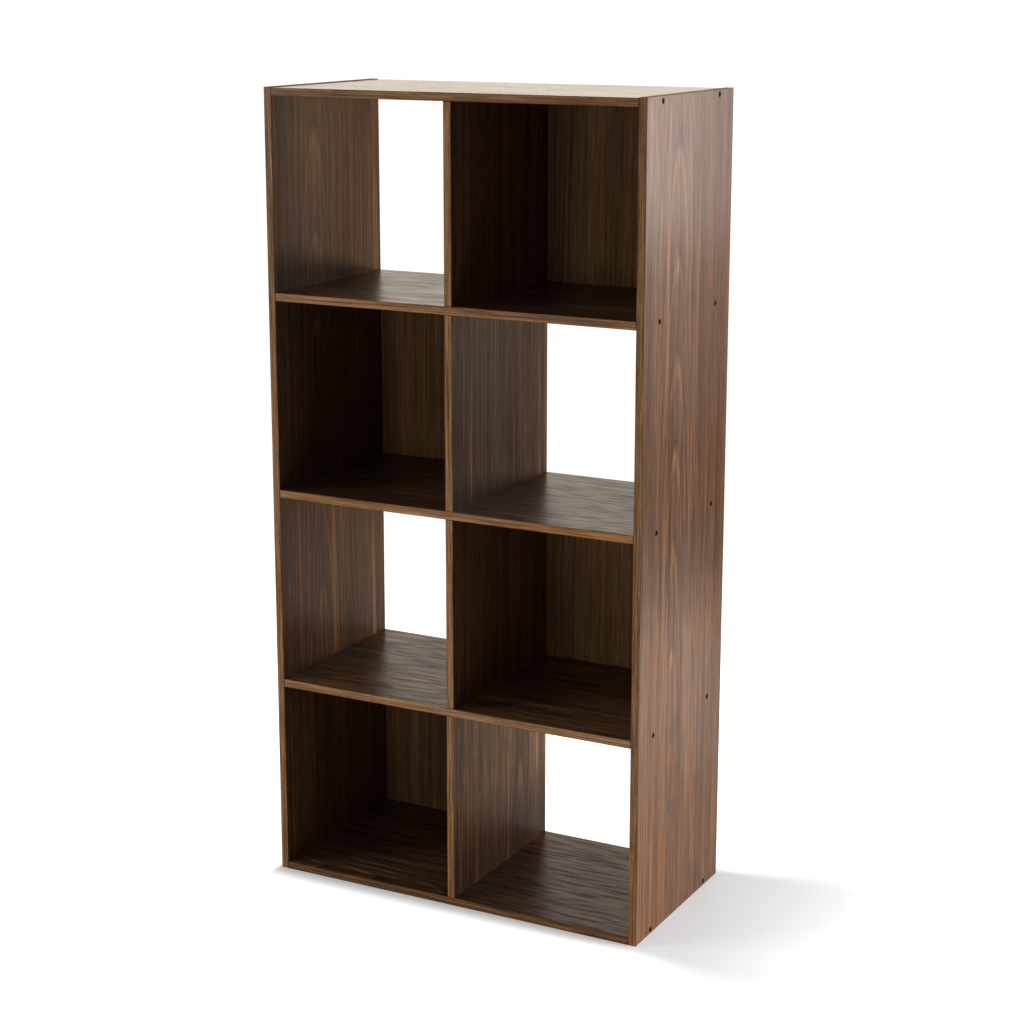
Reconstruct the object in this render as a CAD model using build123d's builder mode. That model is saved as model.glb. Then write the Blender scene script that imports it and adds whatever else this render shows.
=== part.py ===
"""Cube storage unit, two cells wide: laminated boards, screwed and dowelled, with lapped back panels."""

import os
from math import radians, tan

from build123d import *

# Driving dimensions in millimetres: X runs across the width, Y from front to back and Z up.
cell_width = 285.0
cell_height = 285.0
board_thickness = 12.0
board_depth = 297.0
side_proud = 1.0

# Edge bands are glued to the front edges of all boards and to the top ends of the sides.
band_thickness = 0.8
band_rounding = 0.5
rounding_limit = 0.9

# Each row has one back panel, in the right (1) or the left (-1) cell, listed from the top row down.
backed_cells = (1, -1, 1, -1)
back_thickness = 3.0
back_spacing = 1.0

# Connector screws go through the sides into the ends of the level boards, two at each end.
screw_inset = 51.0
screw_length = 45.0
screw_head_radius = 4.0
screw_shoulder_radius = 2.5
screw_core_radius = 2.0
screw_tip_radius = 1.0
screw_point = 1.5
screw_sink = 0.2
countersink_angle = 90.0
socket_across_flats = 3.0
socket_depth = 1.8

# Dowels hold the dividers' ends, and run through the shelves from one divider into the next.
dowel_radius = 3.0
dowel_length = 30.0
dowel_chamfer = 0.8
dowel_skin = 3.0
divider_dowel_inset = 60.0

# Round-headed nails hold the back panels to the rear edges.
nail_corner_inset = 60.0
nail_head_radius = 1.9
nail_head_height = 0.7
nail_shank_radius = 0.7
nail_length = 16.0
nail_point = 1.6

# Radial room around fasteners, and room past the ends of those in blind holes.
fit_clearance = 0.05
end_room = 1.0

# Sizes and places that follow from the driving dimensions.
LEFT, RIGHT = -1, 1
row_count = len(backed_cells)
inner_width = 2 * cell_width + board_thickness
overall_width = inner_width + 2 * board_thickness
pitch = cell_height + board_thickness
levels = [pitch * row for row in range(row_count + 1)]
side_height = levels[-1] + board_thickness + side_proud
overall_depth = board_depth + back_thickness + nail_head_height
front_y = -overall_depth / 2
rear_y = front_y + board_depth
core_front_y = front_y + band_thickness
core_middle_y = (core_front_y + rear_y) / 2
core_depth = rear_y - core_front_y
band_arris = min(band_rounding, rounding_limit * band_thickness)

lap = (board_thickness - back_spacing) / 2
back_width = cell_width + 2 * lap
back_height = cell_height + 2 * lap

dowel_hole_radius = dowel_radius + fit_clearance
blind_depth = board_thickness - dowel_skin
blind_grip = dowel_length - (blind_depth - end_room)
through_grip = (dowel_length - board_thickness) / 2
screw_rows = (front_y + screw_inset, rear_y - screw_inset)
divider_dowel_rows = (front_y + divider_dowel_inset, rear_y - divider_dowel_inset)

SHELF_NAMES = ("lower_shelf", "middle_shelf", "upper_shelf")
LEVEL_NAMES = ("bottom_panel", *SHELF_NAMES, "top_panel")
SIDE_NAMES = {LEFT: "left_side", RIGHT: "right_side"}


def row_from_bottom(row):
    """Index of the level board below a row, where rows are numbered from 1 at the top."""
    return row_count - row


def cell_centre(row):
    """X and Z of the middle of the cell that has the back panel in a row."""
    x = backed_cells[row - 1] * (cell_width + board_thickness) / 2
    z = levels[row_from_bottom(row)] + board_thickness + cell_height / 2
    return x, z


def nail_points(row):
    """X and Z of the nails round one back panel, midway across the lap."""
    x, z = cell_centre(row)
    reach_x = (cell_width + lap) / 2
    reach_z = (cell_height + lap) / 2
    spread_x = back_width / 2 - nail_corner_inset
    spread_z = back_height / 2 - nail_corner_inset
    upright = [(x + i * reach_x, z + k * spread_z) for i in (-1, 1) for k in (-1, 1)]
    level = [(x + i * spread_x, z + k * reach_z) for i in (-1, 1) for k in (-1, 1)]
    return upright + level


def nails_within(x_low, x_high, z_low, z_high):
    """Places on the rear edges where nails enter a board that spans these limits."""
    points = [point for row in range(1, row_count + 1) for point in nail_points(row)]
    return [
        rear_spot(x, z, rear_y) for x, z in points if x_low < x < x_high and z_low < z < z_high
    ]


def rear_spot(x, z, y):
    """Plane that faces the rear at a point."""
    return Plane(origin=(x, y, z), x_dir=(1, 0, 0), z_dir=(0, 1, 0))


def side_spot(x, y, z, facing):
    """Plane that faces left (-1) or right (1) at a point."""
    return Plane(origin=(x, y, z), x_dir=(0, 1, 0), z_dir=(facing, 0, 0))


def level_spot(y, z, facing):
    """Plane on the dividers' line that faces down (-1) or up (1)."""
    return Plane(origin=(0, y, z), x_dir=(1, 0, 0), z_dir=(0, 0, facing))


def level_middles():
    """Heights of the middles of the level boards."""
    return [level + board_thickness / 2 for level in levels]


def keep(builder, name):
    """Label a finished piece and write its file."""
    builder.part.label = name
    export_step(builder.part, f"parts/{name}.step")


def make_nail_holes(spots):
    """Holes in a board's rear edge for the nails that pass through the back panels."""
    if spots:
        with Locations(*spots):
            Hole(nail_shank_radius + fit_clearance, nail_length - back_thickness + end_room)


def make_side_panel(hand):
    """Full-height side with countersunk screw holes at each level board."""
    inner_x = hand * inner_width / 2
    outer_x = hand * overall_width / 2
    core_height = side_height - band_thickness
    screws = [side_spot(outer_x, y, z, hand) for z in level_middles() for y in screw_rows]
    with BuildPart() as panel:
        with BuildSketch():
            with Locations(((inner_x + outer_x) / 2, core_middle_y)):
                Rectangle(board_thickness, core_depth)
        extrude(amount=core_height)
        with Locations(*screws):
            CounterSinkHole(
                screw_shoulder_radius + fit_clearance,
                screw_head_radius + screw_sink + fit_clearance,
                counter_sink_angle=countersink_angle,
            )
        make_nail_holes(nails_within(*sorted((inner_x, outer_x)), 0, core_height))
    keep(panel, f"{SIDE_NAMES[hand]}_panel")


def make_level_board(index):
    """Top, bottom or shelf: pilot holes in both ends, dowel holes for the dividers."""
    bottom_z = levels[index]
    top_z = bottom_z + board_thickness
    middle_z = bottom_z + board_thickness / 2
    ends = [(hand, hand * inner_width / 2) for hand in (LEFT, RIGHT)]
    pilots = [side_spot(x, y, middle_z, hand) for hand, x in ends for y in screw_rows]
    facing, seat_z = (-1, bottom_z) if index == row_count else (1, top_z)
    divider_dowels = [level_spot(y, seat_z, facing) for y in divider_dowel_rows]
    is_shelf = 0 < index < row_count
    with BuildPart() as board:
        with BuildSketch(Plane.XY.offset(bottom_z)):
            with Locations((0, core_middle_y)):
                Rectangle(inner_width, core_depth)
        extrude(amount=board_thickness)
        with Locations(*pilots):
            Hole(screw_core_radius + fit_clearance, screw_length + screw_sink - board_thickness + end_room)
        with Locations(*divider_dowels):
            Hole(dowel_hole_radius, board_thickness if is_shelf else blind_depth)
        make_nail_holes(nails_within(-inner_width / 2, inner_width / 2, bottom_z, top_z))
    keep(board, LEVEL_NAMES[index])


def make_divider(row):
    """Short upright between two level boards, with dowel holes in both ends."""
    below = row_from_bottom(row)
    bottom_z = levels[below] + board_thickness
    top_z = bottom_z + cell_height
    lower_grip = blind_grip if below == 0 else through_grip
    upper_grip = blind_grip if below == row_count - 1 else through_grip
    with BuildPart() as divider:
        with BuildSketch(Plane.XY.offset(bottom_z)):
            with Locations((0, core_middle_y)):
                Rectangle(board_thickness, core_depth)
        extrude(amount=cell_height)
        with Locations(*[level_spot(y, bottom_z, -1) for y in divider_dowel_rows]):
            Hole(dowel_hole_radius, lower_grip + end_room)
        with Locations(*[level_spot(y, top_z, 1) for y in divider_dowel_rows]):
            Hole(dowel_hole_radius, upper_grip + end_room)
        make_nail_holes(nails_within(-board_thickness / 2, board_thickness / 2, bottom_z, top_z))
    keep(divider, f"divider_row_{row}")


def make_back_panel(row):
    """Thin panel lapped onto the rear edges round one cell."""
    x, z = cell_centre(row)
    back_y = rear_y + back_thickness
    with BuildPart() as back:
        with BuildSketch(rear_spot(x, z, rear_y)):
            Rectangle(back_width, back_height)
        extrude(amount=back_thickness)
        with Locations(*[rear_spot(*point, back_y) for point in nail_points(row)]):
            Hole(nail_shank_radius + fit_clearance, back_thickness)
    keep(back, f"back_panel_row_{row}")


def make_front_band(name, x, z, width, height):
    """Edge band on a board's front edge, eased all round its front face."""
    with BuildPart() as band:
        with BuildSketch(Plane(origin=(x, core_front_y, z), x_dir=(1, 0, 0), z_dir=(0, -1, 0))):
            Rectangle(width, height)
        extrude(amount=band_thickness)
        fillet(band.faces().sort_by(Axis.Y)[0].edges(), band_arris)
    keep(band, f"{name}_front_band")


def make_top_band(hand):
    """Edge band on the top end of a side, behind the front band."""
    x = hand * (inner_width + board_thickness) / 2
    with BuildPart() as band:
        with BuildSketch(Plane.XY.offset(side_height - band_thickness)):
            with Locations((x, core_middle_y)):
                Rectangle(board_thickness, core_depth)
        extrude(amount=band_thickness)
        top = band.faces().sort_by(Axis.Z)[-1]
        fillet(top.edges().filter_by(Axis.Y), band_arris)
    keep(band, f"{SIDE_NAMES[hand]}_top_band")


def make_screws(hand, screw):
    """The connector screws of one side, heads just under its outer face."""
    head_x = hand * (overall_width / 2 - screw_sink)
    with BuildPart() as screws:
        with Locations(*[side_spot(head_x, y, z, hand) for z in level_middles() for y in screw_rows]):
            add(screw)
    keep(screws, f"{SIDE_NAMES[hand]}_screws")


def make_divider_dowels(dowel):
    """The dowels at the dividers' ends: blind in top and bottom panels, through the shelves."""
    tops = [level + board_thickness + through_grip for level in levels]
    tops[0] = levels[0] + board_thickness + blind_grip
    tops[-1] = levels[-1] + blind_depth - end_room
    with BuildPart() as dowels:
        with Locations(*[level_spot(y, z, 1) for z in tops for y in divider_dowel_rows]):
            add(dowel)
    keep(dowels, "divider_dowels")


def make_back_nails(row, nail):
    """The nails of one back panel, heads on its rear face."""
    with BuildPart() as nails:
        with Locations(*[rear_spot(*point, rear_y + back_thickness) for point in nail_points(row)]):
            add(nail)
    keep(nails, f"back_nails_row_{row}")


os.makedirs("parts", exist_ok=True)

# One screw, hanging down from its head, with a hexagon socket.
head_cone = (screw_head_radius - screw_shoulder_radius) / tan(radians(countersink_angle / 2))
with BuildPart() as screw:
    with BuildSketch(Plane.XZ):
        with BuildLine():
            Polyline(
                (0, 0),
                (screw_head_radius, 0),
                (screw_shoulder_radius, -head_cone),
                (screw_shoulder_radius, screw_sink - board_thickness),
                (screw_core_radius, screw_sink - board_thickness),
                (screw_core_radius, screw_point - screw_length),
                (screw_tip_radius, -screw_length),
                (0, -screw_length),
                close=True,
            )
        make_face()
    revolve(axis=Axis.Z)
    with BuildSketch():
        RegularPolygon(socket_across_flats / 2, 6, major_radius=False)
    extrude(amount=-socket_depth, mode=Mode.SUBTRACT)

# One dowel, hanging down from its top end.
with BuildPart() as dowel:
    with BuildSketch():
        Circle(dowel_radius)
    extrude(amount=-dowel_length)
    chamfer(dowel.edges().filter_by(GeomType.CIRCLE), dowel_chamfer)

# One nail, its head standing on the surface that it holds down.
with BuildPart() as nail:
    with BuildSketch(Plane.XZ):
        with BuildLine():
            Polyline(
                (0, nail_head_height),
                (nail_head_radius, nail_head_height),
                (nail_head_radius, 0),
                (nail_shank_radius, 0),
                (nail_shank_radius, nail_point - nail_length),
                (0, -nail_length),
                close=True,
            )
        make_face()
    revolve(axis=Axis.Z)

for hand in (LEFT, RIGHT):
    middle_x = hand * (inner_width + board_thickness) / 2
    make_side_panel(hand)
    make_front_band(SIDE_NAMES[hand], middle_x, side_height / 2, board_thickness, side_height)
    make_top_band(hand)
    make_screws(hand, screw.part)

for index, height in enumerate(level_middles()):
    make_level_board(index)
    make_front_band(LEVEL_NAMES[index], 0, height, inner_width, board_thickness)

for row in range(1, row_count + 1):
    make_divider(row)
    make_front_band(f"divider_row_{row}", 0, cell_centre(row)[1], board_thickness, cell_height)
    make_back_panel(row)
    make_back_nails(row, nail.part)

make_divider_dowels(dowel.part)
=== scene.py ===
"""Looks of a cube storage unit in a white studio: walnut laminate, edge bands, thin backs and fasteners."""

import math

import bpy
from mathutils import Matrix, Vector


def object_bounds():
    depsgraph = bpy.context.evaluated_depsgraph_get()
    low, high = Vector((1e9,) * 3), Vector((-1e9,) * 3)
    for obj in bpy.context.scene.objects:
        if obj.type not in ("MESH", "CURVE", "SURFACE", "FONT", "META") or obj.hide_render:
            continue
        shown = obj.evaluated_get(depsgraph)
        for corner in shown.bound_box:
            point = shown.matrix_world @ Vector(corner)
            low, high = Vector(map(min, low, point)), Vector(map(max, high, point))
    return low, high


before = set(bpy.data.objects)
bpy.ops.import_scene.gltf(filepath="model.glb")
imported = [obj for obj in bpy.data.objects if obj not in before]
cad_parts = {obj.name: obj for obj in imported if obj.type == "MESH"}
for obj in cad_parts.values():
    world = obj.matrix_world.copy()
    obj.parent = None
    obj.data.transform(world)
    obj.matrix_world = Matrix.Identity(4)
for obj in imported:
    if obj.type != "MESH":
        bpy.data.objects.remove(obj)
cad_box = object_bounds()

scene = bpy.context.scene

# Camera, in metres and radians, and the photograph's principal point and frame in pixels.
IMAGE_SIZE = 1024
SENSOR_WIDTH = 36.0
CAMERA_PLACE = (1.48884, -2.76461, 1.35360)
CAMERA_YAW = 0.4910
CAMERA_PITCH = 0.2211
FOCAL_PIXELS = 2159.1
CENTRE_PIXEL = (504.87, 463.27)

# World light: a sweep behind the unit on the left, brightest low down and warm in gloss, and a dim room.
WHITE = (1.0, 1.0, 1.0, 1.0)
SWEEP_LEVEL = 2.3
SWEEP_FADE = 0.40
SWEEP_COLOUR = (1.0, 0.91, 0.78, 1.0)
SWEEP_AIM = (-0.47, 0.88)
SWEEP_EDGE = (0.75, 0.93)
ROOM_LEVEL = 0.06
CEILING_LEVEL = 0.22
CEILING_EDGE = (0.45, 0.75)

# Lamps: place, aim, size and power. The key stands on the left, a weak fill in front, the side lamp on the
# right, and behind on the right a low one that shines through the open cells. There too stand the rim and,
# under it, the haze: two cards that show in gloss alone and light no matt surface.
LAMPS = {
    "key": ((-6.0, -4.2, 1.2), (0.0, 0.0, 0.6), (3.0, 2.6), 385.0),
    "fill": ((-0.4, -7.0, 1.0), (0.0, 0.0, 0.6), (2.0, 2.0), 53.0),
    "side": ((4.0, 0.6, 2.4), (0.2, 0.0, 0.6), (1.6, 1.6), 120.0),
    "low": ((2.9, 2.9, 0.3), (0.2, 0.0, 0.6), (1.6, 0.5), 100.0),
    "rim": ((0.95, 1.05, 1.19), (0.303, -0.10, 1.15), (0.35, 0.66), 6.0),
    "haze": ((0.95, 1.05, 0.69), (0.303, -0.10, 0.65), (0.35, 0.34), 0.6),
}
OUT_OF_GLOSS = ("side", "low")
GLOSS_CARDS = ("rim", "haze")
LAMP_COLOUR = (1.0, 1.0, 1.0)
CARD_COLOUR = (1.0, 0.94, 0.94)

# Floor: a white sheet round the unit, grey past its edge. It glows for the camera, fully past a set area
# round the unit and only
# at FLOOR_GLOW inside it: a painted shadow over the lamps' own shadow. On the right it shines in gloss.
FLOOR_REACH = 60.0
FLOOR_ROUGHNESS = 0.6
FLOOR_SPECULAR = 0.2
FLOOR_GLOW = 0.25
FLOOR_SHINE = 1.0
SHINE_EDGE = (0.45, 0.85)
SHEET_SHADES = (0.80, 0.06)
SHEET_EDGE = (1.3, 2.3)
SHEET_TINT = (0.97, 1.0, 1.04)

# Lengths of the painted shadow on the floor, where its glow for the camera stays low. Reach goes to the
# left and right.
# Front and rear each have one length at the unit and another past a turn on its right.
PAINTED_SHADOW_REACH = (0.012, 0.60)
PAINTED_SHADOW_FRONT = (0.05, 0.24)
PAINTED_SHADOW_REAR = (0.03, 0.24)
PAINTED_SHADOW_TURN = 0.25

# Nodes by kind, and the sign of the normal on the printed side of a back panel.
LEVELS = ("bottom_panel", "lower_shelf", "middle_shelf", "upper_shelf", "top_panel")
SIDES = ("left_side", "right_side")
ROWS = (1, 2, 3, 4)
FRONT_FACE = -1

# Each seed is another log, and each kind of piece starts from its own.
SIDE_SEED = 3.0
SIDE_BAND_SEED = 11.0
TOP_BAND_SEED = 14.0
LEVEL_SEED = 20.0
LEVEL_BAND_SEED = 30.0
DIVIDER_SEED = 40.0
DIVIDER_BAND_SEED = 50.0
BACK_SEED = 60.0
LOG_STEP = 7.31
LEAF_RATE = 30.0

# Tones: how far each piece is lighter or darker than the palette's middle. A shift is an axis of the grain,
# the two places on it in metres, and what it adds to the tone before the first and after the second.
ALONG, ACROSS = 0, 1
MIDDLE_TONE = 0.51
SIDE_CONTRASTS = (0.72, 0.82)
# Painted shade on the left side: darkest where it meets the lower shelf at 0.31 m, lighter below that in
# the bottom row, and darker toward the rear edge.
LEFT_SIDE_SHADE_SHIFTS = (
    (ALONG, 0.24, 0.31, 0.16, 0.0),
    (ALONG, 0.31, 0.45, -0.24, -0.10),
    (ACROSS, -0.15, 0.15, 0.05, -0.04),
)
# Painted shade on the right side: darker above 0.54 m than below 0.40 m, and darker toward the rear edge.
RIGHT_SIDE_SHADE_SHIFTS = (
    (ALONG, 0.40, 0.54, 0.02, -0.15),
    (ACROSS, -0.15, 0.15, 0.05, -0.06),
)
SIDE_SHADE_SHIFTS = (LEFT_SIDE_SHADE_SHIFTS, RIGHT_SIDE_SHADE_SHIFTS)
# Painted shade: every level but the top panel is a darker copy of the walnut, most of all the bottom panel
# and the middle and upper shelves, where little light falls.
LEVEL_SHADE_TONES = (-0.22, -0.10, -0.28, -0.24, 0.0)
SHELF_CONTRAST = 1.1
SHELF_FINE = (1.6, 0.85)
# Painted shade: the second row's divider is a much darker copy of the walnut, and the other rows' tones
# take back what the shift adds above 0.17 m.
DIVIDER_SHADE_TONES = (-0.08, -0.32, -0.08, -0.02)
# Painted shade at the foot of each divider, below 0.17 m, where the bottom row's divider meets the bottom
# panel.
DIVIDER_SHADE_SHIFTS = ((ALONG, 0.02, 0.17, -0.40, 0.08),)
# Painted shade: the bottom row's back is darker, where the light falls off near the floor.
BACK_SHADE_TONES = (0.04, 0.0, 0.0, -0.12)
BACK_CONTRAST = 0.75
SIDE_BAND_TONES = (-0.03, -0.01)
LEVEL_BAND_TONES = (-0.32, 0.12, 0.20, 0.08, -0.06)
DIVIDER_BAND_TONES = (0.10, 0.03, 0.20, 0.03)

# Growth rings: the pith's place across the grain, where it leaves the face along the grain, and its slope.
RING_SLOPE = 0.05
SIDE_RING = (-0.040, -0.7, RING_SLOPE)
BAND_RING = (1.5, 0.0, RING_SLOPE)
LEVEL_PITH = -0.12
LEVEL_PITH_STEP = 0.05
LEVEL_RING_START = -1.2
ROW_PITH = 0.30
ROW_PITH_STEP = -0.06
ROW_RING_START = -0.7
RINGS_PER_METRE = 140.0
RING_SHARE = 0.24
RING_RISE = (0.65, 0.88)
RING_FALL = (0.88, 1.0)
RING_SHADE = 0.7
RING_SHADE_END = 0.25

# Walnut figure: cycles per metre along and across the grain, octaves and share of the tone.
# The figure follows the growth rings, and the fibres run straight.
FIGURE = {
    "broad": (0.6, 8.0, 1.0, 0.16),
    "streak": (1.6, 40.0, 1.0, 0.30),
}
FIBRES = {
    "line": (3.0, 140.0, 1.0, 0.35),
    "thread": (9.0, 330.0, 1.0, 0.50),
    "pore": (28.0, 170.0, 1.0, 0.40),
}

# Patches of the figure: cycles per metre along, across and through the grain, and the edge in the noise.
RING_PATCH = (1.5, 14.0, 2.1), (0.38, 0.60)
CRISP_LINE = (1.3, 180.0, 1.9), (0.40, 0.60)
CRISP_LEVELS = (-0.11, 0.11)
THREAD_PATCH = (2.6, 24.0, 1.7), (0.42, 0.62)
PALE_THREAD = (1.6, 100.0, 1.3), (0.60, 0.69)
PALE_THREAD_SHARE = 0.55
DARK_THREAD = (1.8, 110.0, 2.3), (0.62, 0.72)
DARK_THREAD_SHARE = 0.28

# How the fibres and rings wander: cycles per metre along, across and through the grain, and metres.
WOBBLE = (1.6, 6.0, 1.0), 0.012
RIPPLE = (9.0, 30.0, 1.0), 0.0025
RING_WANDER = (2.5, 12.0, 1.0), 0.010

# Warmth: a cloud that raises and lowers the colour's saturation.
WARMTH_RATE = (0.9, 7.0, 1.6)
WARMTH_OCTAVES = 4.0
WARMTH_ROUGHNESS = 0.7
WARMTH_EDGE = (0.30, 0.70)
SATURATION = (0.91, 1.06)

# Faces: roughness and how far it varies in streaks, specular level and the share of it that the dashes
# take away, dashes per metre along and across the grain, and their height in metres.
TOP_FINISH = (0.25, 0.04, 0.46, 0.1, (20.0, 80.0), 0.00001)
SHELF_FINISH = (0.32, 0.20, 0.68, 0.85, (19.0, 240.0), 0.00006)
WALL_FINISH = (0.33, 0.10, 0.24, 0.2, (25.0, 300.0), 0.00002)
DASH_EDGE = (0.36, 0.64)
DASH_ROUGHNESS = 0.025
GLOSS_STREAK = (6.0, 60.0, 1.0)
SPECULAR_TINT = (1.0, 0.80, 0.62, 1.0)
FACE_EDGE = (0.4, 0.6)

# Edge bands: closer grain with more fibre, and dark lines of a width in metres and a strength: a glue line
# with painted shade of the rounded edge along the long edges, and painted shade of the joint's gap at the
# ends.
BAND_ROUGHNESS = 0.48
BAND_SPECULAR = 0.15
BAND_DASH = (30.0, 650.0)
BAND_RELIEF = (0.1, 0.0002)
BAND_FINE = (2.5, 2.2)
BAND_FIBRE = (14.0, 340.0, 1.0)
BAND_FIBRE_SHARE = 0.9
EDGE_GLUE_AND_SHADE_LINE = (0.0005, 0.45)
JOINT_SHADE_LINE = (0.0007, 0.7)

# Bare cores: particle board and hardboard.
CORE_ROUGHNESS = 0.8
CORE_HEIGHT = 0.000024
FLAKES_PER_METRE = 620.0
CHIP_SPECK = (900.0, 900.0, 900.0)
CHIP_SPECK_SHARE = 0.6
MOTTLE = (14.0, 14.0, 14.0)
MOTTLE_OCTAVES = 5.0
MOTTLE_ROUGHNESS = 0.62
MOTTLE_SHARE = 0.6
FUZZ = (700.0, 700.0, 700.0)
FUZZ_SHARE = 0.5

# Fasteners: plating clouds, wear and its relief on the steel, and the dowels' grain.
PLATING = (900.0, 900.0, 900.0)
PLATING_OCTAVES = 3.0
PLATING_EDGE = (0.4, 0.7)
PLATING_LIFT = 1.8
WEAR = (4000.0, 400.0, 4000.0)
WEAR_RELIEF = (0.1, 0.0001)
DOWEL_GRAIN = (500.0, 500.0, 12.0)
DOWEL_OCTAVES = 3.0
DOWEL_ROUGHNESS = 0.7


def srgb(red, green, blue):
    """Linear colour from screen values of 0 to 255."""

    def linear(value):
        share = value / 255
        return share / 12.92 if share <= 0.04045 else ((share + 0.055) / 1.055) ** 2.4

    return (linear(red), linear(green), linear(blue), 1.0)


# Palettes, dark to light, with the place of each colour on the tone's scale.
BOARD_PALETTE = (
    (0.00, srgb(54, 39, 30)),
    (0.30, srgb(81, 58, 41)),
    (0.52, srgb(103, 75, 52)),
    (0.75, srgb(132, 97, 66)),
    (1.00, srgb(166, 122, 80)),
)
RED_PALETTE = (
    (0.00, srgb(56, 38, 30)),
    (0.30, srgb(84, 58, 43)),
    (0.52, srgb(109, 76, 53)),
    (0.75, srgb(141, 99, 66)),
    (1.00, srgb(175, 124, 80)),
)
SIDE_PALETTES = (BOARD_PALETTE, RED_PALETTE)
BACK_PALETTE = (
    (0.00, srgb(60, 43, 27)),
    (0.30, srgb(92, 67, 43)),
    (0.52, srgb(116, 86, 56)),
    (0.75, srgb(142, 107, 70)),
    (1.00, srgb(170, 130, 86)),
)
BAND_PALETTE = (
    (0.00, srgb(66, 44, 27)),
    (0.30, srgb(100, 69, 43)),
    (0.52, srgb(126, 89, 56)),
    (0.75, srgb(150, 107, 68)),
    (1.00, srgb(178, 130, 84)),
)
CHIP_PALETTE = (
    (0.00, srgb(120, 88, 58)),
    (0.45, srgb(176, 138, 96)),
    (1.00, srgb(214, 182, 138)),
)
HARDBOARD_PALETTE = (
    (0.30, srgb(112, 82, 56)),
    (0.55, srgb(140, 106, 74)),
    (0.80, srgb(164, 128, 92)),
)
BEECH_PALETTE = (
    (0.30, srgb(186, 146, 104)),
    (0.70, srgb(222, 188, 146)),
)
PALE_LINE = srgb(168, 116, 78)
# The dark threads' colour, also used for the bands' glue lines and painted shade lines.
DARK_THREAD_AND_SHADE_COLOUR = srgb(52, 35, 27)

# Steels: colour, roughness, what wear adds to it, metallic and specular level.
BLACK_STEEL = (srgb(16, 14, 13), 0.60, 0.25, 0.0, 0.08)
BRIGHT_STEEL = (srgb(176, 174, 170), 0.28, 0.30, 1.0, 0.5)


class Nodes:
    """Short calls for the nodes of one tree. A value is a number, a tuple or another node's socket."""

    def __init__(self, tree):
        self.tree = tree
        tree.nodes.clear()

    def feed(self, socket, value):
        if isinstance(value, bpy.types.NodeSocket):
            self.tree.links.new(value, socket)
        else:
            socket.default_value = value

    def make(self, kind, settings=None, **inputs):
        node = self.tree.nodes.new("ShaderNode" + kind)
        for name, value in (settings or {}).items():
            setattr(node, name, value)
        for name, value in inputs.items():
            self.feed(node.inputs[name.replace("_", " ")], value)
        return node

    def math(self, operation, *values):
        node = self.make("Math", {"operation": operation})
        for socket, value in zip(node.inputs, values):
            self.feed(socket, value)
        return node.outputs[0]

    def total(self, *values):
        result = values[0]
        for value in values[1:]:
            result = self.math("ADD", result, value)
        return result

    def vector(self, x, y, z):
        return self.make("CombineXYZ", X=x, Y=y, Z=z).outputs[0]

    def split(self, vector):
        return self.make("SeparateXYZ", Vector=vector).outputs

    def place(self):
        """The point in metres. Each node's mesh stands at the origin, so these are the frame's own axes."""
        return self.make("TexCoord").outputs["Object"]

    def stretch(self, vector, x, y, z):
        node = self.make("VectorMath", {"operation": "MULTIPLY"})
        self.feed(node.inputs[0], vector)
        node.inputs[1].default_value = (x, y, z)
        return node.outputs[0]

    def length(self, vector):
        node = self.make("VectorMath", {"operation": "LENGTH"})
        self.feed(node.inputs[0], vector)
        return node.outputs["Value"]

    def noise(self, vector, detail=2.0, roughness=0.5):
        node = self.make("TexNoise", Vector=vector, Scale=1.0, Detail=detail, Roughness=roughness)
        return node.outputs[0]

    def swing(self, vector, size, detail=2.0):
        """Noise about zero, times a size."""
        return self.math("MULTIPLY", self.math("SUBTRACT", self.noise(vector, detail), 0.5), size)

    def step(self, value, low, high, bottom=0.0, top=1.0):
        node = self.make("MapRange", {"interpolation_type": "SMOOTHSTEP"}, Value=value)
        node.inputs["From Min"].default_value = low
        node.inputs["From Max"].default_value = high
        node.inputs["To Min"].default_value = bottom
        node.inputs["To Max"].default_value = top
        return node.outputs[0]

    def patches(self, vector, rate, edge, *levels):
        """Noise of so many cycles per metre, cut at an edge into two levels."""
        return self.step(self.noise(self.stretch(vector, *rate), 1.0), *edge, *levels)

    def ramp(self, value, stops):
        node = self.make("ValToRGB", Fac=value)
        elements = node.color_ramp.elements
        while len(elements) < len(stops):
            elements.new(1.0)
        for element, (place, colour) in zip(elements, stops):
            element.position = place
            element.color = colour
        return node.outputs[0]

    def mix(self, share, first, second):
        node = self.make("Mix", {"data_type": "RGBA"})
        self.feed(node.inputs[0], share)
        self.feed(node.inputs[6], first)
        self.feed(node.inputs[7], second)
        return node.outputs[2]


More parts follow.
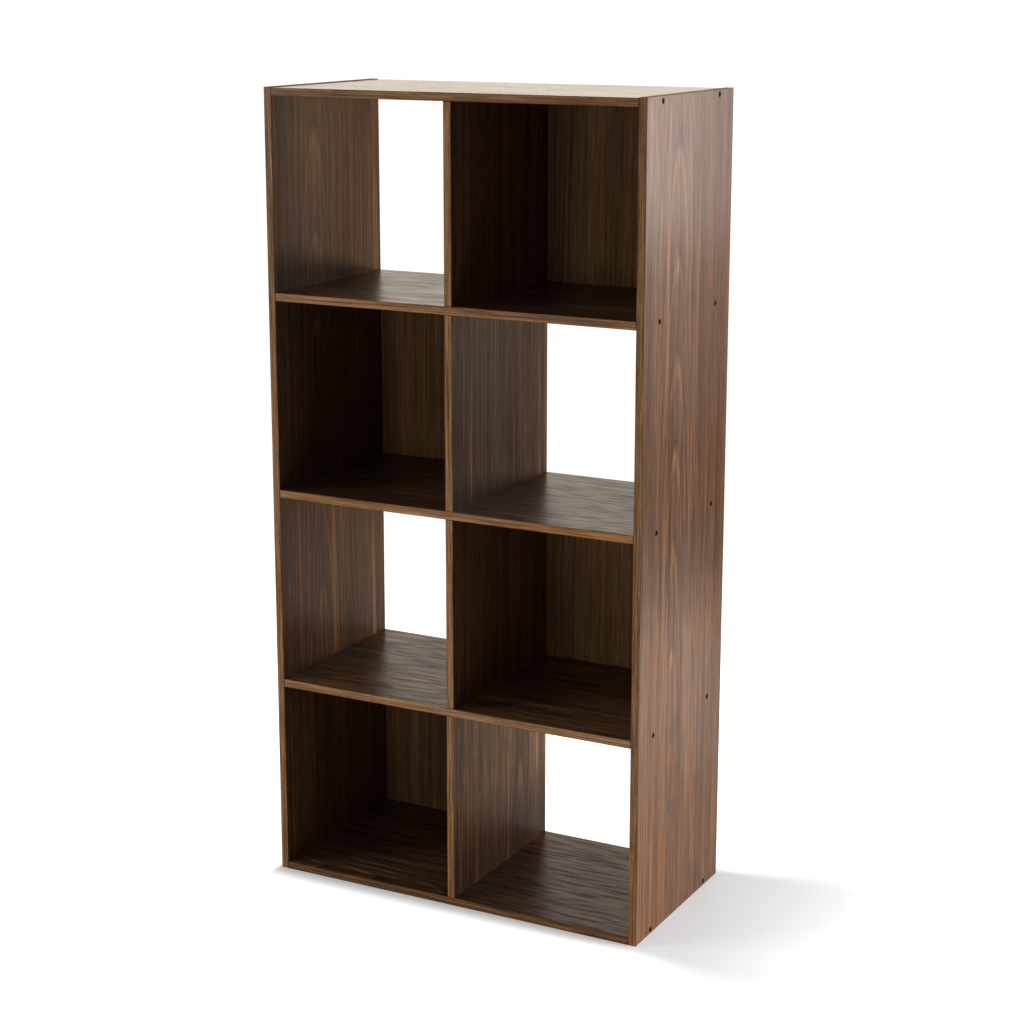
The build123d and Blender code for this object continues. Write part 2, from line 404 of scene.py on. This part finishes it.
def make_grain_group():
    """Walnut figure in metres, where X runs along the grain, Y across it and Z through the leaves."""
    tree = bpy.data.node_groups.new("walnut_grain", "ShaderNodeTree")
    for name in ("Place", "Ring"):
        tree.interface.new_socket(name, in_out="INPUT", socket_type="NodeSocketVector")
    for name in ("Tone", "Warmth", "Pale", "Dark"):
        tree.interface.new_socket(name, in_out="OUTPUT", socket_type="NodeSocketFloat")
    g = Nodes(tree)
    entry = tree.nodes.new("NodeGroupInput").outputs
    exits = tree.nodes.new("NodeGroupOutput").inputs

    along, across, leaf = g.split(entry["Place"])
    sways = [g.swing(g.stretch(entry["Place"], *rate), size) for rate, size in (WOBBLE, RIPPLE)]
    across = g.total(across, *sways)
    straight = g.vector(along, across, leaf)

    # Rings: the face cuts growth rings about a pith line that sinks away from a start along the grain.
    # Each ring ends in a thin pale line, and the next starts dark.
    centre, start, slope = g.split(entry["Ring"])
    depth = g.math("MULTIPLY", g.math("SUBTRACT", along, start), slope)
    radius = g.length(g.vector(g.math("SUBTRACT", across, centre), depth, 0.0))
    place = g.vector(along, radius, leaf)
    wander_rate, wander_size = RING_WANDER
    uneven = g.swing(g.stretch(place, *wander_rate), wander_size)
    phase = g.math("FRACT", g.math("MULTIPLY", g.total(radius, uneven), RINGS_PER_METRE))
    late = g.math("MULTIPLY", g.step(phase, *RING_RISE), g.step(phase, *RING_FALL, 1.0, 0.0))
    line = g.math("SUBTRACT", late, g.step(phase, 0.0, RING_SHADE_END, RING_SHADE, 0.0))
    clear = g.patches(place, *RING_PATCH)
    ring = g.math("MULTIPLY", g.math("MULTIPLY", line, clear), RING_SHARE)

    parts = [ring]
    for space, layers in ((place, FIGURE), (straight, FIBRES)):
        for lengthways, sideways, octaves, share in layers.values():
            parts.append(g.swing(g.stretch(space, lengthways, sideways, 1.0), share, octaves))
    parts.append(g.patches(straight, *CRISP_LINE, *CRISP_LEVELS))
    g.feed(exits["Tone"], g.total(*parts))
    warmth = g.noise(g.stretch(straight, *WARMTH_RATE), WARMTH_OCTAVES, WARMTH_ROUGHNESS)
    g.feed(exits["Warmth"], warmth)

    # Threads: sparse pale ones that fade in and out along the grain, and dark ones.
    shown = g.patches(straight, *THREAD_PATCH)
    g.feed(exits["Pale"], g.math("MULTIPLY", g.patches(straight, *PALE_THREAD), shown))
    g.feed(exits["Dark"], g.patches(straight, *DARK_THREAD))
    return tree


def new_material(name):
    material = bpy.data.materials.new(name)
    material.use_nodes = True
    return material, Nodes(material.node_tree)


def finish_material(g, shader):
    g.feed(g.make("OutputMaterial").inputs["Surface"], shader.outputs[0])


def grain_place(g, order, seed):
    """The point along, across and through the grain. Order names these axes."""
    parts = g.split(g.place())
    along, across, through = (parts["XYZ".index(axis)] for axis in order)
    return g.vector(along, across, g.math("MULTIPLY_ADD", through, LEAF_RATE, LOG_STEP * seed))


def walnut(g, palette, order, seed, ring, shade=0.0, contrast=1.0, shifts=(), fine=(1.0, 1.0)):
    """Colour of a walnut face.

    Shade moves the tone, shifts move it from one place to another along or across the grain, contrast
    scales the figure, and fine draws it closer both ways.
    """
    place = grain_place(g, order, seed)
    group = g.make("Group", {"node_tree": GRAIN}, Place=g.stretch(place, *fine, 1.0), Ring=ring)
    out = group.outputs
    tone = g.total(g.math("MULTIPLY", out["Tone"], contrast), MIDDLE_TONE, shade)
    for axis, *change in shifts:
        tone = g.math("ADD", tone, g.step(g.split(place)[axis], *change))
    colour = g.ramp(tone, palette)
    colour = g.mix(g.math("MULTIPLY", out["Pale"], PALE_THREAD_SHARE * contrast), colour, PALE_LINE)
    colour = g.mix(g.math("MULTIPLY", out["Dark"], DARK_THREAD_SHARE * contrast), colour, DARK_THREAD_AND_SHADE_COLOUR)
    saturation = g.step(out["Warmth"], *WARMTH_EDGE, *SATURATION)
    return g.make("HueSaturation", Saturation=saturation, Color=colour).outputs[0]


def pressed_dashes(g, order, seed, dash):
    """Height of the short pores pressed in the face, which break the gloss."""
    return g.patches(grain_place(g, order, seed), (*dash, 1.0), DASH_EDGE)


def laminate_material(name, palette, order, seed, ring, core, finish, face_sign=0, **tones):
    """Printed walnut on one or both faces across the leaf axis, and the bare core elsewhere."""
    material, g = new_material(name)
    colour = walnut(g, palette, order, seed, ring, **tones)
    roughness, streaks, specular, pits, dash, dash_height = finish
    fleck = pressed_dashes(g, order, seed, dash)
    normal = g.split(g.make("TexCoord").outputs["Normal"])["XYZ".index(order[2])]
    facing = g.math("MULTIPLY", normal, face_sign) if face_sign else g.math("ABSOLUTE", normal)
    bare = g.step(facing, *FACE_EDGE, 1.0, 0.0)
    core_colour, core_height = core(g)
    streak = g.swing(g.stretch(grain_place(g, order, seed), *GLOSS_STREAK), streaks)
    rough = g.total(g.math("MULTIPLY_ADD", fleck, DASH_ROUGHNESS, roughness), streak)
    rough = g.math("MAXIMUM", rough, g.math("MULTIPLY", bare, CORE_ROUGHNESS))
    core_relief = g.math("MULTIPLY", g.math("MULTIPLY", bare, core_height), CORE_HEIGHT)
    relief = g.total(g.math("MULTIPLY", fleck, dash_height), core_relief)
    bump = g.make("Bump", Strength=1.0, Distance=1.0, Height=relief)
    shader = g.make(
        "BsdfPrincipled",
        Base_Color=g.mix(bare, colour, core_colour),
        Roughness=rough,
        Normal=bump.outputs[0],
        Specular_IOR_Level=g.math("MULTIPLY_ADD", fleck, -pits * specular, specular),
        Specular_Tint=SPECULAR_TINT,
    )
    finish_material(g, shader)
    return material


def band_material(node, order, seed, shade, joints=True):
    """Edge band of fine straight walnut, with dark lines along its edges (glue line and painted shade of
    the rounded edge) and painted shade at the joints of its ends.
    """
    material, g = new_material(node)
    fibre = g.swing(g.stretch(grain_place(g, order, seed), *BAND_FIBRE), BAND_FIBRE_SHARE, 1.0)
    shade = g.math("ADD", fibre, shade)
    colour = walnut(g, BAND_PALETTE, order, seed, BAND_RING, shade, fine=BAND_FINE)
    fleck = pressed_dashes(g, order, seed, BAND_DASH)
    lines = [(order[1], *EDGE_GLUE_AND_SHADE_LINE)]
    if joints:
        lines.append((order[0], *JOINT_SHADE_LINE))
    for letter, width, strength in lines:
        axis = "XYZ".index(letter)
        ends = [corner[axis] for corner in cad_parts[node].bound_box]
        middle = (max(ends) + min(ends)) / 2
        half = (max(ends) - min(ends)) / 2
        reach = g.math("ABSOLUTE", g.math("SUBTRACT", g.split(g.place())[axis], middle))
        # A dark line near the edge: glue line and painted shade along the long edges, painted shade at the
        # joints.
        line_shade = g.step(reach, half - 2 * width, half - width)
        colour = g.mix(g.math("MULTIPLY", line_shade, strength), colour, DARK_THREAD_AND_SHADE_COLOUR)
    strength, distance = BAND_RELIEF
    bump = g.make("Bump", Strength=strength, Distance=distance, Height=fleck)
    shader = g.make(
        "BsdfPrincipled",
        Base_Color=colour,
        Roughness=g.math("MULTIPLY_ADD", fleck, DASH_ROUGHNESS, BAND_ROUGHNESS),
        Normal=bump.outputs[0],
        Specular_IOR_Level=BAND_SPECULAR,
        Specular_Tint=SPECULAR_TINT,
    )
    finish_material(g, shader)
    return material


def chipboard(g):
    """Colour and height of bare particle board: pressed flakes of pale and dark wood."""
    place = g.place()
    settings = {"feature": "F1"}
    flakes = g.make("TexVoronoi", settings, Vector=place, Scale=FLAKES_PER_METRE, Randomness=1.0)
    tone = g.split(flakes.outputs["Color"])[0]
    tone = g.total(tone, g.swing(g.stretch(place, *CHIP_SPECK), CHIP_SPECK_SHARE))
    return g.ramp(tone, CHIP_PALETTE), tone


def hardboard(g):
    """Colour and height of the plain rear face of a thin fibre panel."""
    place = g.place()
    mottle = g.noise(g.stretch(place, *MOTTLE), MOTTLE_OCTAVES, MOTTLE_ROUGHNESS)
    fuzz = g.noise(g.stretch(place, *FUZZ))
    tone = g.total(g.math("MULTIPLY", mottle, MOTTLE_SHARE), g.math("MULTIPLY", fuzz, FUZZ_SHARE))
    return g.ramp(tone, HARDBOARD_PALETTE), fuzz


def metal_material(name, colour, roughness, scratch, metallic, specular):
    """Turned steel with cloudy plating and fine wear."""
    material, g = new_material(name)
    place = g.place()
    cloud = g.noise(g.stretch(place, *PLATING), PLATING_OCTAVES)
    wear = g.noise(g.stretch(place, *WEAR))
    lifted = tuple(channel * PLATING_LIFT for channel in colour[:3]) + (1.0,)
    strength, distance = WEAR_RELIEF
    bump = g.make("Bump", Strength=strength, Distance=distance, Height=wear)
    shader = g.make(
        "BsdfPrincipled",
        Base_Color=g.mix(g.step(cloud, *PLATING_EDGE), colour, lifted),
        Roughness=g.math("MULTIPLY_ADD", wear, scratch, roughness),
        Normal=bump.outputs[0],
        Metallic=metallic,
        Specular_IOR_Level=specular,
    )
    finish_material(g, shader)
    return material


def dowel_material():
    """Turned beech with the grain along the dowel."""
    material, g = new_material("beech")
    grain = g.noise(g.stretch(g.place(), *DOWEL_GRAIN), DOWEL_OCTAVES)
    colour = g.ramp(grain, BEECH_PALETTE)
    finish_material(g, g.make("BsdfPrincipled", Base_Color=colour, Roughness=DOWEL_ROUGHNESS))
    return material


def paint(node, material):
    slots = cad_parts[node].data.materials
    slots.clear()
    slots.append(material)


def paint_sides():
    for index, side in enumerate(SIDES):
        look = (SIDE_PALETTES[index], "ZYX", SIDE_SEED + index, SIDE_RING, chipboard, WALL_FINISH)
        tones = {"shifts": SIDE_SHADE_SHIFTS[index], "contrast": SIDE_CONTRASTS[index]}
        paint(f"{side}_panel", laminate_material(f"{side}_walnut", *look, **tones))
        tone = SIDE_BAND_TONES[index]
        front = f"{side}_front_band"
        paint(front, band_material(front, "ZXY", SIDE_BAND_SEED + index, tone, joints=False))
        top = f"{side}_top_band"
        paint(top, band_material(top, "YXZ", TOP_BAND_SEED + index, tone, joints=False))


def paint_levels():
    for index, level in enumerate(LEVELS):
        ring = (LEVEL_PITH + LEVEL_PITH_STEP * index, LEVEL_RING_START, RING_SLOPE)
        finish = TOP_FINISH if level == "top_panel" else SHELF_FINISH
        look = (BOARD_PALETTE, "XYZ", LEVEL_SEED + index, ring, chipboard, finish)
        tones = {"shade": LEVEL_SHADE_TONES[index], "contrast": SHELF_CONTRAST, "fine": SHELF_FINE}
        paint(level, laminate_material(f"{level}_walnut", *look, **tones))
        band = f"{level}_front_band"
        paint(band, band_material(band, "XZY", LEVEL_BAND_SEED + index, LEVEL_BAND_TONES[index]))


def paint_rows():
    for index, row in enumerate(ROWS):
        ring = (ROW_PITH + ROW_PITH_STEP * row, ROW_RING_START, RING_SLOPE)
        divider = f"divider_row_{row}"
        look = (BOARD_PALETTE, "ZYX", DIVIDER_SEED + row, ring, chipboard, WALL_FINISH)
        tones = {"shade": DIVIDER_SHADE_TONES[index], "shifts": DIVIDER_SHADE_SHIFTS}
        paint(divider, laminate_material(f"{divider}_walnut", *look, **tones))
        band = f"{divider}_front_band"
        paint(band, band_material(band, "ZXY", DIVIDER_BAND_SEED + row, DIVIDER_BAND_TONES[index]))
        back = f"back_panel_row_{row}"
        look = (BACK_PALETTE, "ZXY", BACK_SEED + row, ring, hardboard, WALL_FINISH, FRONT_FACE)
        tones = {"shade": BACK_SHADE_TONES[index], "contrast": BACK_CONTRAST}
        paint(back, laminate_material(f"{back}_walnut", *look, **tones))


def paint_fasteners():
    black = metal_material("black_steel", *BLACK_STEEL)
    bright = metal_material("bright_steel", *BRIGHT_STEEL)
    for side in SIDES:
        paint(f"{side}_screws", black)
    for row in ROWS:
        paint(f"back_nails_row_{row}", bright)
    paint("divider_dowels", dowel_material())


def seen_directly(g):
    """One for the camera's own rays, also through glass."""
    path = g.make("LightPath").outputs
    return g.math("MAXIMUM", path["Is Camera Ray"], path["Is Transmission Ray"])


def past_painted_shadow(g, place):
    """Zero under the unit and one where the painted shadow ends, on the floor."""
    right = cad_box[1][0]
    front = g.step(place[0], right, right + PAINTED_SHADOW_TURN, *PAINTED_SHADOW_FRONT)
    rear = g.step(place[0], right, right + PAINTED_SHADOW_TURN, *PAINTED_SHADOW_REAR)
    gaps = []
    for axis, (low, high) in enumerate((PAINTED_SHADOW_REACH, (front, rear))):
        before = g.math("DIVIDE", g.math("SUBTRACT", cad_box[0][axis], place[axis]), low)
        past = g.math("DIVIDE", g.math("SUBTRACT", place[axis], cad_box[1][axis]), high)
        gaps.append(g.math("MAXIMUM", g.math("MAXIMUM", before, past), 0.0))
    return g.length(g.vector(*gaps, 0.0))


def make_floor():
    """A wide pale floor. Its glow for the camera makes open floor white and stays low near the unit, a
    painted shadow over the lamps' own.
    """
    mesh = bpy.data.meshes.new("floor")
    corners = [(x * FLOOR_REACH, y * FLOOR_REACH, 0.0) for x, y in ((-1, -1), (1, -1), (1, 1), (-1, 1))]
    mesh.from_pydata(corners, [], [(0, 1, 2, 3)])
    floor = bpy.data.objects.new("floor", mesh)
    scene.collection.objects.link(floor)
    material, g = new_material("floor_white")
    place = g.split(g.place())
    painted_shadow_glow = g.step(past_painted_shadow(g, place), 0.0, 1.0, FLOOR_GLOW, 1.0)
    glow = g.math("MULTIPLY", seen_directly(g), painted_shadow_glow)
    reach = g.length(g.vector(place[0], place[1], 0.0))
    shade = g.step(reach, *SHEET_EDGE, *SHEET_SHADES)
    shine = g.step(reach, *SHEET_EDGE, FLOOR_SHINE, 0.0)
    shine = g.math("MULTIPLY", shine, g.step(place[0], *SHINE_EDGE))
    shine = g.math("MULTIPLY", shine, g.make("LightPath").outputs["Is Glossy Ray"])
    shader = g.make(
        "BsdfPrincipled",
        Base_Color=g.stretch(g.vector(shade, shade, shade), *SHEET_TINT),
        Roughness=FLOOR_ROUGHNESS,
        Specular_IOR_Level=FLOOR_SPECULAR,
        Emission_Color=WHITE,
        Emission_Strength=g.math("MAXIMUM", glow, shine),
    )
    finish_material(g, shader)
    mesh.materials.append(material)


def make_world():
    """White for the camera; as light, a bright sweep behind the unit and a dim room in front."""
    world = bpy.data.worlds.new("studio")
    scene.world = world
    world.use_nodes = True
    g = Nodes(world.node_tree)
    direction = g.split(g.make("TexCoord").outputs["Generated"])
    turned = [g.math("MULTIPLY", direction[axis], share) for axis, share in enumerate(SWEEP_AIM)]
    fade = g.math("EXPONENT", g.math("DIVIDE", g.math("MAXIMUM", direction[2], 0.0), -SWEEP_FADE))
    sweep = g.math("MULTIPLY", g.step(g.total(*turned), *SWEEP_EDGE, 0.0, SWEEP_LEVEL), fade)
    ceiling = g.step(direction[2], *CEILING_EDGE, ROOM_LEVEL, CEILING_LEVEL)
    level = g.math("MAXIMUM", g.math("MAXIMUM", sweep, ceiling), seen_directly(g))
    mirrored = g.make("LightPath").outputs["Is Glossy Ray"]
    colour = g.mix(mirrored, WHITE, SWEEP_COLOUR)
    background = g.make("Background", Strength=level, Color=colour)
    g.feed(g.make("OutputWorld").inputs["Surface"], background.outputs[0])


def make_lamp(name, place, aim, size, power):
    """An area lamp that shows in the gloss, lights the matt surfaces, or does both."""
    data = bpy.data.lights.new(name, "AREA")
    data.color = CARD_COLOUR if name in GLOSS_CARDS else LAMP_COLOUR
    data.shape = "RECTANGLE"
    data.size, data.size_y = size
    data.energy = power
    lamp = bpy.data.objects.new(name, data)
    lamp.visible_glossy = name not in OUT_OF_GLOSS
    lamp.visible_diffuse = name not in GLOSS_CARDS
    lamp.location = place
    lamp.rotation_euler = (Vector(aim) - Vector(place)).to_track_quat("-Z", "Y").to_euler()
    scene.collection.objects.link(lamp)


def make_camera():
    data = bpy.data.cameras.new("camera")
    data.sensor_width = SENSOR_WIDTH
    data.lens = FOCAL_PIXELS * SENSOR_WIDTH / IMAGE_SIZE
    data.shift_x = 0.5 - CENTRE_PIXEL[0] / IMAGE_SIZE
    data.shift_y = CENTRE_PIXEL[1] / IMAGE_SIZE - 0.5
    camera = bpy.data.objects.new("camera", data)
    camera.location = CAMERA_PLACE
    camera.rotation_euler = (math.pi / 2 - CAMERA_PITCH, 0.0, CAMERA_YAW)
    scene.collection.objects.link(camera)
    scene.camera = camera


GRAIN = make_grain_group()
paint_sides()
paint_levels()
paint_rows()
paint_fasteners()

make_floor()
make_world()
for lamp_name, lamp_settings in LAMPS.items():
    make_lamp(lamp_name, *lamp_settings)
make_camera()
scene.view_settings.view_transform = "Standard"
